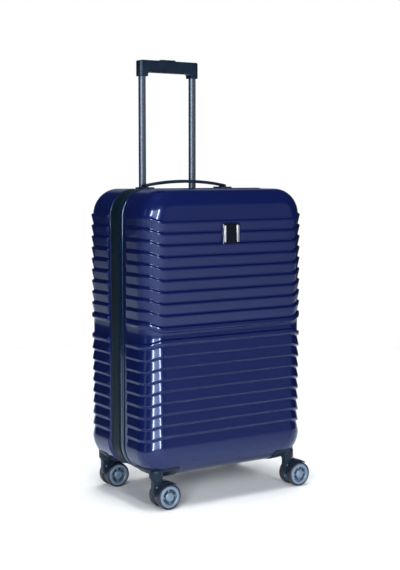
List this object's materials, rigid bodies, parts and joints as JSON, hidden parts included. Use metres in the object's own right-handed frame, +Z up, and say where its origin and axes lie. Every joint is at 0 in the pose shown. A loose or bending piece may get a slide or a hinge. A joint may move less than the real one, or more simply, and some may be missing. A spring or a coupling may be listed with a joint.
{
  "type": "hard shell suitcase",
  "caption": "Upright hard-shell travel case with ribbed glossy half shells, zip round the middle, pull-out handle, top carry handle and swivelling twin-wheel casters.",
  "frame": {"origin": "on the floor, under the middle of the bounding box, wheels and handle included", "axes": "+Z up, +Y from the front of the case to the handle side, +X to the case's right as seen from its front"},
  "size_m": [0.4334, 0.2998, 0.9663],
  "materials": {
    "shell": "glossy violet-navy moulded shell, clear coat",
    "black_plastic": "satin black nylon with a cool tint",
    "piping": "glossy near-black extruded bead",
    "zip_fabric": "dark grey woven zip tape, slightly shiny",
    "webbing": "flat woven webbing",
    "lining": "plain grey polyester lining",
    "mesh_panel": "dark zip divider of polyester and mesh",
    "tube": "gunmetal anodised, satin",
    "steel": "plain steel",
    "zinc": "dark plated die casting",
    "hub": "silver-grey painted plastic, semi-gloss",
    "tyre": "black urethane tread",
    "chrome": "polished",
    "badge": "gloss black, blank"
  },
  "bodies": {
    "back": {"back_shell": "shell", "zip_tape_back": "zip_fabric", "lining_back": "lining", "trolley_housing": "black_plastic", "outer_tube_left": "steel", "outer_tube_right": "steel", "carry_mount_left": "black_plastic", "carry_mount_right": "black_plastic", "wheel_housing_rear_left": "black_plastic", "wheel_housing_rear_right": "black_plastic", "packing_straps": "webbing"},
    "front": {"front_shell": "shell", "zip_tape_front": "zip_fabric", "piping_front": "piping", "lining_front": "lining", "divider_panel": "mesh_panel", "badge_frame": "chrome", "badge_plate": "badge", "wheel_housing_front_left": "black_plastic", "wheel_housing_front_right": "black_plastic", "lock_body": "black_plastic"},
    "trolley": {"trolley_tube_left": "tube", "trolley_tube_right": "tube", "trolley_grip": "black_plastic"},
    "button": {"grip_button": "black_plastic", "release_yoke": "steel"},
    "carry": {"carry_handle": "black_plastic"},
    "release": {"lock_release": "zinc"},
    "dial_1": {"lock_dial_1": "zinc"},
    "dial_2": {"lock_dial_2": "zinc"},
    "dial_3": {"lock_dial_3": "zinc"},
    "slider_upper": {"zip_slider_upper": "zinc"},
    "pull_upper": {"zip_pull_upper": "zinc"},
    "slider_lower": {"zip_slider_lower": "zinc"},
    "pull_lower": {"zip_pull_lower": "zinc"},
    "swivel_front_left": {"fork_front_left": "black_plastic", "axle_front_left": "steel"},
    "wheel_front_left_front": {"hub_front_left_front": "hub", "tyre_front_left_front": "tyre"},
    "wheel_front_left_back": {"hub_front_left_back": "hub", "tyre_front_left_back": "tyre"},
    "swivel_front_right": {"fork_front_right": "black_plastic", "axle_front_right": "steel"},
    "wheel_front_right_front": {"hub_front_right_front": "hub", "tyre_front_right_front": "tyre"},
    "wheel_front_right_back": {"hub_front_right_back": "hub", "tyre_front_right_back": "tyre"},
    "swivel_rear_left": {"fork_rear_left": "black_plastic", "axle_rear_left": "steel"},
    "wheel_rear_left_front": {"hub_rear_left_front": "hub", "tyre_rear_left_front": "tyre"},
    "wheel_rear_left_back": {"hub_rear_left_back": "hub", "tyre_rear_left_back": "tyre"},
    "swivel_rear_right": {"fork_rear_right": "black_plastic", "axle_rear_right": "steel"},
    "wheel_rear_right_front": {"hub_rear_right_front": "hub", "tyre_rear_right_front": "tyre"},
    "wheel_rear_right_back": {"hub_rear_right_back": "hub", "tyre_rear_right_back": "tyre"}
  },
  "joints": [
    {"name": "lid_hinge", "type": "hinge", "parent": "back", "child": "front", "pos_m": [-0.21775, -0.0216, 0.37], "axis": [0, 0, 1], "range_deg": [-180, 0]},
    {"name": "trolley_slide", "type": "slide", "parent": "back", "child": "trolley", "axis": [0, 0, 1], "range_m": [-0.284, 0]},
    {"name": "button_press", "type": "slide", "parent": "trolley", "child": "button", "axis": [0, 0, -1], "range_m": [0, 0.003], "stiffness_N_per_m": 600, "springref_m": -0.004},
    {"name": "carry_lift", "type": "slide", "parent": "back", "child": "carry", "axis": [0, 0, 1], "range_m": [0, 0.0085]},
    {"name": "lock_release_slide", "type": "slide", "parent": "front", "child": "release", "axis": [0, 0, -1], "range_m": [0, 0.0039], "stiffness_N_per_m": 200, "springref_m": -0.002},
    {"name": "dial_1_turn", "type": "hinge", "parent": "front", "child": "dial_1", "pos_m": [0.20495, -0.0936, 0.37265], "axis": [0, 1, 0], "continuous": true},
    {"name": "dial_2_turn", "type": "hinge", "parent": "front", "child": "dial_2", "pos_m": [0.20495, -0.0826, 0.37265], "axis": [0, 1, 0], "continuous": true},
    {"name": "dial_3_turn", "type": "hinge", "parent": "front", "child": "dial_3", "pos_m": [0.20495, -0.0716, 0.37265], "axis": [0, 1, 0], "continuous": true},
    {"name": "slider_upper_run", "type": "slide", "parent": "front", "child": "slider_upper", "axis": [0, 0, 1], "range_m": [0, 0.22]},
    {"name": "pull_upper_swing", "type": "hinge", "parent": "slider_upper", "child": "pull_upper", "pos_m": [0.20355, -0.0216, 0.38015], "axis": [0, 0, 1], "range_deg": [0, 160]},
    {"name": "slider_lower_run", "type": "slide", "parent": "front", "child": "slider_lower", "axis": [0, 0, 1], "range_m": [-0.21, 0]},
    {"name": "pull_lower_swing", "type": "hinge", "parent": "slider_lower", "child": "pull_lower", "pos_m": [0.20355, -0.0216, 0.36515], "axis": [0, 0, 1], "range_deg": [0, 160]},
    {"name": "swivel_front_left_turn", "type": "hinge", "parent": "front", "child": "swivel_front_left", "pos_m": [-0.18075, -0.1196, 0.06], "axis": [0, 0, 1], "continuous": true},
    {"name": "wheel_front_left_front_spin", "type": "hinge", "parent": "swivel_front_left", "child": "wheel_front_left_front", "pos_m": [-0.15875, -0.13435, 0.0275], "axis": [0, 1, 0], "continuous": true},
    {"name": "wheel_front_left_back_spin", "type": "hinge", "parent": "swivel_front_left", "child": "wheel_front_left_back", "pos_m": [-0.15875, -0.10485, 0.0275], "axis": [0, 1, 0], "continuous": true},
    {"name": "swivel_front_right_turn", "type": "hinge", "parent": "front", "child": "swivel_front_right", "pos_m": [0.16725, -0.1196, 0.06], "axis": [0, 0, 1], "continuous": true},
    {"name": "wheel_front_right_front_spin", "type": "hinge", "parent": "swivel_front_right", "child": "wheel_front_right_front", "pos_m": [0.18925, -0.13435, 0.0275], "axis": [0, 1, 0], "continuous": true},
    {"name": "wheel_front_right_back_spin", "type": "hinge", "parent": "swivel_front_right", "child": "wheel_front_right_back", "pos_m": [0.18925, -0.10485, 0.0275], "axis": [0, 1, 0], "continuous": true},
    {"name": "swivel_rear_left_turn", "type": "hinge", "parent": "back", "child": "swivel_rear_left", "pos_m": [-0.18075, 0.1004, 0.06], "axis": [0, 0, 1], "continuous": true},
    {"name": "wheel_rear_left_front_spin", "type": "hinge", "parent": "swivel_rear_left", "child": "wheel_rear_left_front", "pos_m": [-0.15875, 0.08565, 0.0275], "axis": [0, 1, 0], "continuous": true},
    {"name": "wheel_rear_left_back_spin", "type": "hinge", "parent": "swivel_rear_left", "child": "wheel_rear_left_back", "pos_m": [-0.15875, 0.11515, 0.0275], "axis": [0, 1, 0], "continuous": true},
    {"name": "swivel_rear_right_turn", "type": "hinge", "parent": "back", "child": "swivel_rear_right", "pos_m": [0.16725, 0.1004, 0.06], "axis": [0, 0, 1], "continuous": true},
    {"name": "wheel_rear_right_front_spin", "type": "hinge", "parent": "swivel_rear_right", "child": "wheel_rear_right_front", "pos_m": [0.182, 0.1224, 0.0275], "axis": [-1, 0, 0], "continuous": true},
    {"name": "wheel_rear_right_back_spin", "type": "hinge", "parent": "swivel_rear_right", "child": "wheel_rear_right_back", "pos_m": [0.1525, 0.1224, 0.0275], "axis": [-1, 0, 0], "continuous": true}
  ]
}
